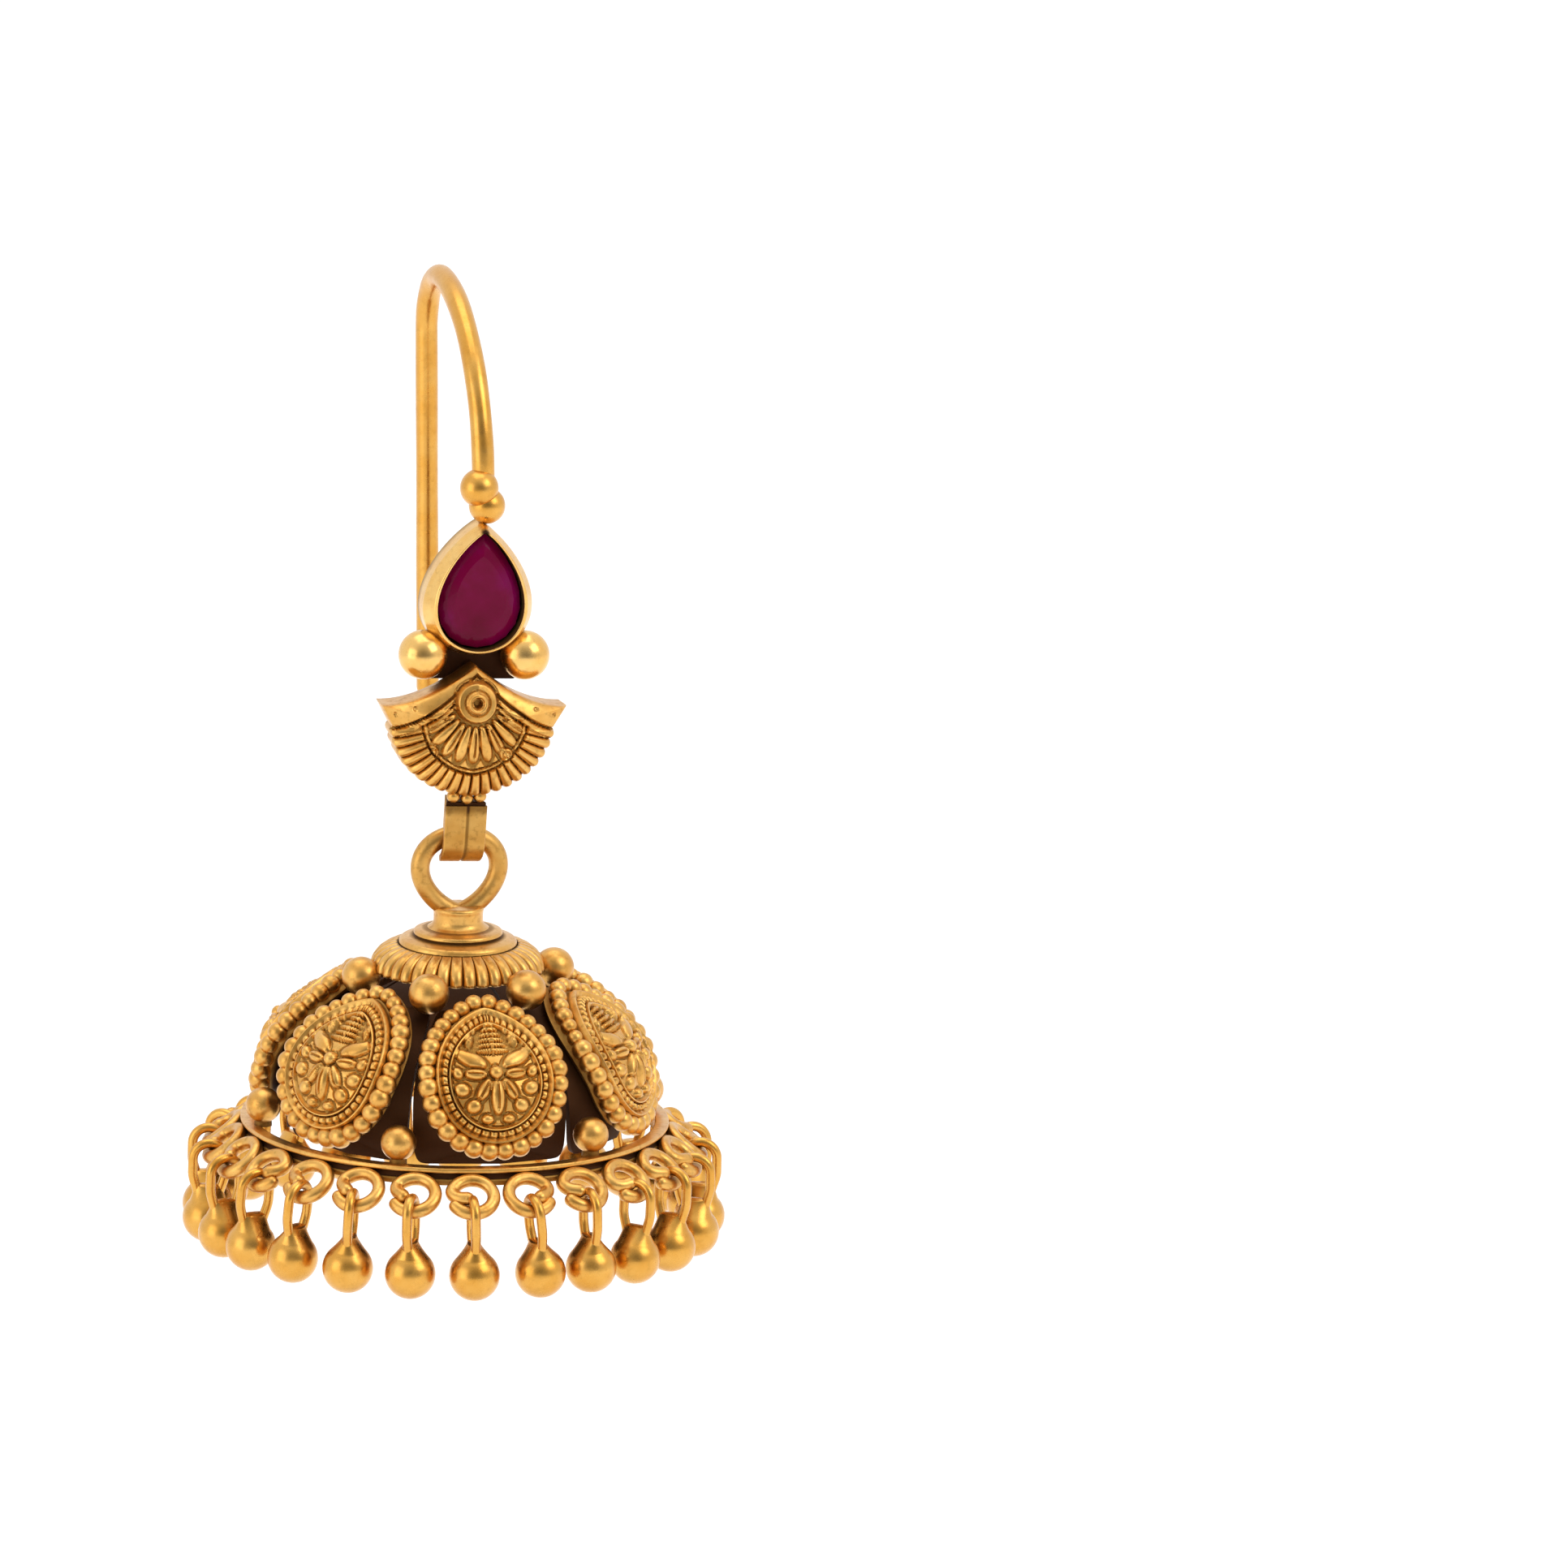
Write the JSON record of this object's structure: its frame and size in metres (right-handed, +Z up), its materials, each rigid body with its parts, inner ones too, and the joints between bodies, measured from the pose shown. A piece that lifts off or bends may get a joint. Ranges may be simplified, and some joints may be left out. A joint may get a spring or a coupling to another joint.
{
  "type": "jhumka earring",
  "caption": "Bell-shaped antique gold drop earring on an ear wire, with a pear-cut red stone, a fan plaque and a fringe of ball drops.",
  "frame": {"origin": "on the ear wire's centreline at the top of its bend, where the earring hangs", "axes": "+Z up, -Y to the front of the earring, +X to the right of someone who looks at its front"},
  "size_m": [0.0267, 0.0267, 0.0474],
  "materials": {
    "antique_gold": "antique gold, satin highlights with brown-black patina in the crevices",
    "satin_gold": "satin gold, smooth",
    "polished_gold": "polished gold",
    "ruby": "deep red-purple faceted stone, closed back"
  },
  "bodies": {
    "ear_top": {"ear_hook": "satin_gold", "bezel_setting": "polished_gold", "ruby_stone": "ruby", "fan_plaque": "antique_gold", "bail_loop": "antique_gold"},
    "drop": {"drop_cap": "antique_gold", "rim_band": "antique_gold", "plaque_1": "antique_gold", "plaque_2": "antique_gold", "plaque_3": "antique_gold", "plaque_4": "antique_gold", "plaque_5": "antique_gold", "plaque_6": "antique_gold", "ball_drop_01": "satin_gold", "ball_drop_02": "satin_gold", "ball_drop_03": "satin_gold", "ball_drop_04": "satin_gold", "ball_drop_05": "satin_gold", "ball_drop_06": "satin_gold", "ball_drop_07": "satin_gold", "ball_drop_08": "satin_gold", "ball_drop_09": "satin_gold", "ball_drop_10": "satin_gold", "ball_drop_11": "satin_gold", "ball_drop_12": "satin_gold", "ball_drop_13": "satin_gold", "ball_drop_14": "satin_gold", "ball_drop_15": "satin_gold", "ball_drop_16": "satin_gold", "ball_drop_17": "satin_gold", "ball_drop_18": "satin_gold", "ball_drop_19": "satin_gold", "ball_drop_20": "satin_gold", "ball_drop_21": "satin_gold", "ball_drop_22": "satin_gold", "ball_drop_23": "satin_gold", "ball_drop_24": "satin_gold", "ball_drop_25": "satin_gold"}
  },
  "joints": [
    {"name": "drop_swing", "type": "hinge", "parent": "ear_top", "child": "drop", "pos_m": [-0.00123, -0.0085, -0.02614], "axis": [0.9998, 0, -0.0209], "range_deg": [-40, 40]}
  ]
}
